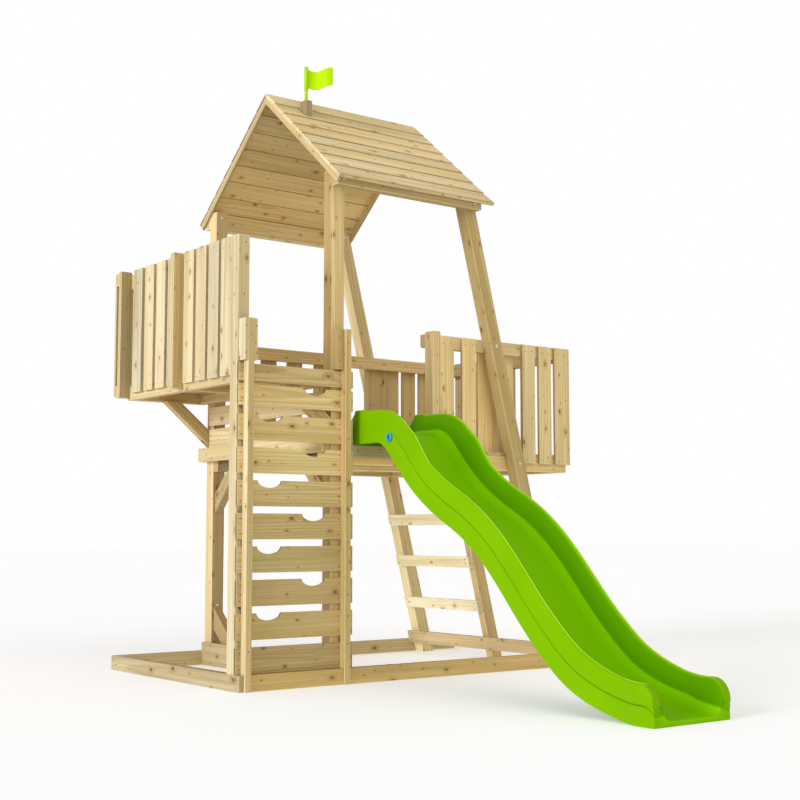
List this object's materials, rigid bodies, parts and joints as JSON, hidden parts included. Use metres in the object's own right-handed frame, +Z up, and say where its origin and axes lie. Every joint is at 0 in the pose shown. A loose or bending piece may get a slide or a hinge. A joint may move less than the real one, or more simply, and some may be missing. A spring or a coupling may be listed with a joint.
{
  "type": "climbing frame",
  "caption": "Timber play tower with a gabled roof, raised lookout, side balcony, climbing wall, leaning ladder and a wavy plastic slide, standing on a ground frame",
  "frame": {"origin": "on the ground, at the centre of the footprint box (ground frame, slide and roof overhang)", "axes": "+X along the roof ridge, from the lookout side to the balcony side; +Y from the slide side to the back; +Z up"},
  "size_m": [2.2, 3.1169, 3.046],
  "materials": {
    "pine": "planed pressure-treated softwood, satin",
    "slide_plastic": "moulded lime green, soft gloss",
    "flag_plastic": "moulded yellow-green, soft gloss",
    "inlet_plastic": "moulded blue, satin",
    "bolt_zinc": "zinc plated"
  },
  "bodies": {
    "tower": {"base_beam_front": "pine", "base_beam_back": "pine", "base_beam_left": "pine", "base_tower_board": "pine", "base_tower_tie": "pine", "base_leg_tie": "pine", "post_front_left": "pine", "post_back_left": "pine", "leg_front": "pine", "leg_back": "pine", "lookout_braces": "pine", "deck_braces": "pine", "foot_brace": "pine", "deck_beam_front": "pine", "deck_beam_back": "pine", "deck_joists": "pine", "hatch_trimmer": "pine", "deck_cross_beam": "pine", "slide_support_beam": "pine", "deck_ledger": "pine", "deck_boards": "pine", "hatch_side_boards": "pine", "infill_boards": "pine", "balcony_rail_front": "pine", "balcony_rail_back": "pine", "balcony_rail_end": "pine", "balcony_post": "pine", "balcony_slats_outer": "pine", "balcony_slats_inner": "pine", "balcony_slats_end": "pine", "lookout_post_near": "pine", "lookout_post_mid": "pine", "lookout_post_far": "pine", "lookout_beam_outer": "pine", "lookout_beam_inner": "pine", "lookout_joists": "pine", "lookout_floor_boards": "pine", "lookout_rail_side": "pine", "lookout_rails_back": "pine", "lookout_slats_side": "pine", "lookout_slats_back": "pine", "climbing_boards": "pine", "wall_stile_left": "pine", "wall_stile_right": "pine", "grab_block_left": "pine", "grab_block_right": "pine", "ladder_stile": "pine", "ladder_rungs": "pine", "wall_plate_front": "pine", "wall_plate_back": "pine", "rafters_left": "pine", "rafters_right": "pine", "roof_boards_front": "pine", "roof_boards_back": "pine", "ridge_block": "pine", "flag_pole": "flag_plastic", "slide_chute": "slide_plastic", "hose_inlet": "inlet_plastic", "coach_bolts": "bolt_zinc"},
    "flag": {"flag": "flag_plastic"}
  },
  "joints": [
    {"name": "flag_turn", "type": "hinge", "parent": "tower", "child": "flag", "pos_m": [-0.45, 0.75555, 2.99], "axis": [0, 0, 1], "continuous": true}
  ]
}
